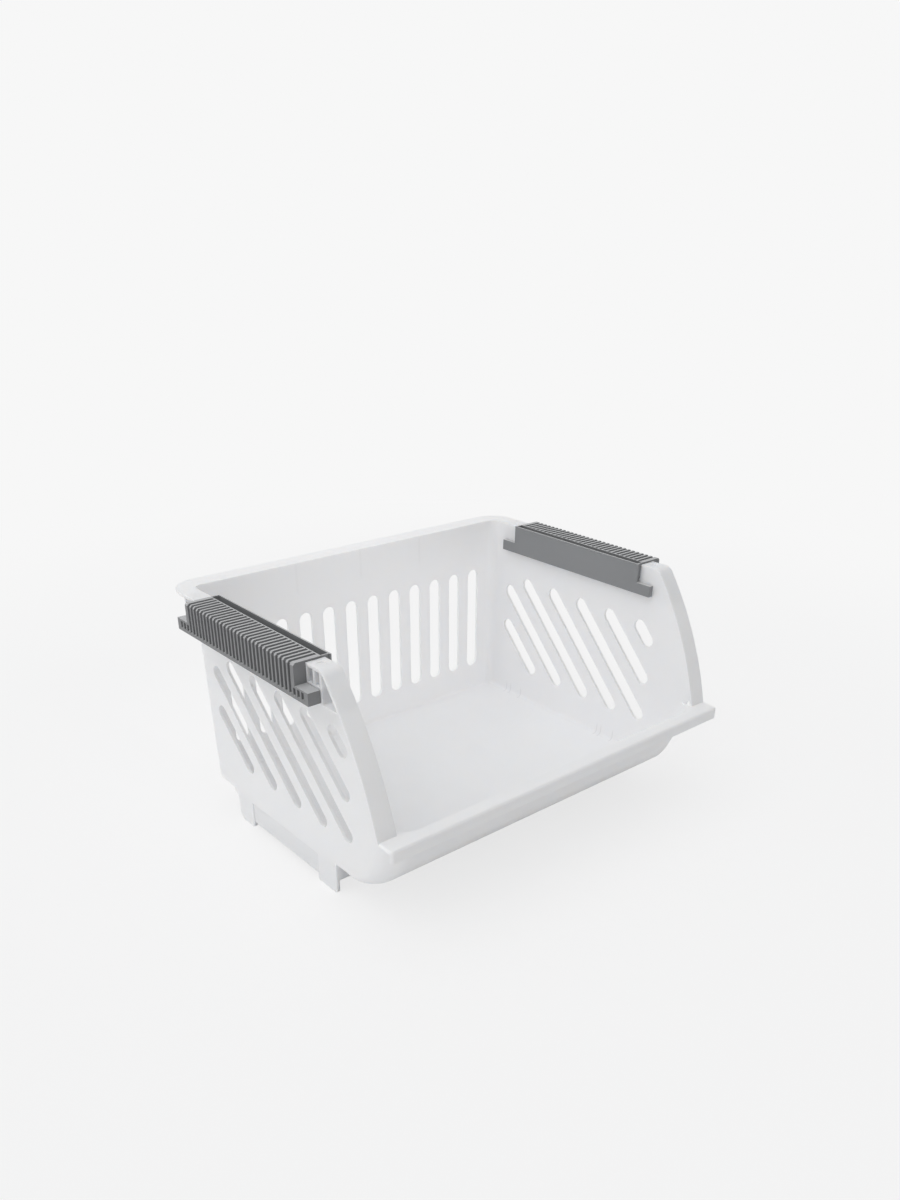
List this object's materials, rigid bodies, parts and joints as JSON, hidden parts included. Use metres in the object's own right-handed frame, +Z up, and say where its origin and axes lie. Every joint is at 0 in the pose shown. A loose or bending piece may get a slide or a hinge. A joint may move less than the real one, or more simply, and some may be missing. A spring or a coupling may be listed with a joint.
{
  "type": "stackable storage basket",
  "caption": "Open-front stacking storage basket with slotted walls, a low front lip, feet and ribbed grips let into both side rims.",
  "frame": {"origin": "on the ground under the feet, in the middle of the overall width and depth", "axes": "+X to the basket's own left-to-right width seen from the front, +Y from the open front to the rear wall, +Z up"},
  "size_m": [0.379, 0.293, 0.201],
  "materials": {
    "white_plastic": "fine matte, slightly cool white",
    "grey_plastic": "matte mid grey",
    "dark_grey_plastic": "matte darker grey"
  },
  "bodies": {
    "root": {"basket_body": "white_plastic", "left_grip_shell": "grey_plastic", "right_grip_shell": "grey_plastic", "left_grip_inner_plate": "dark_grey_plastic", "right_grip_inner_plate": "dark_grey_plastic"}
  },
  "joints": []
}
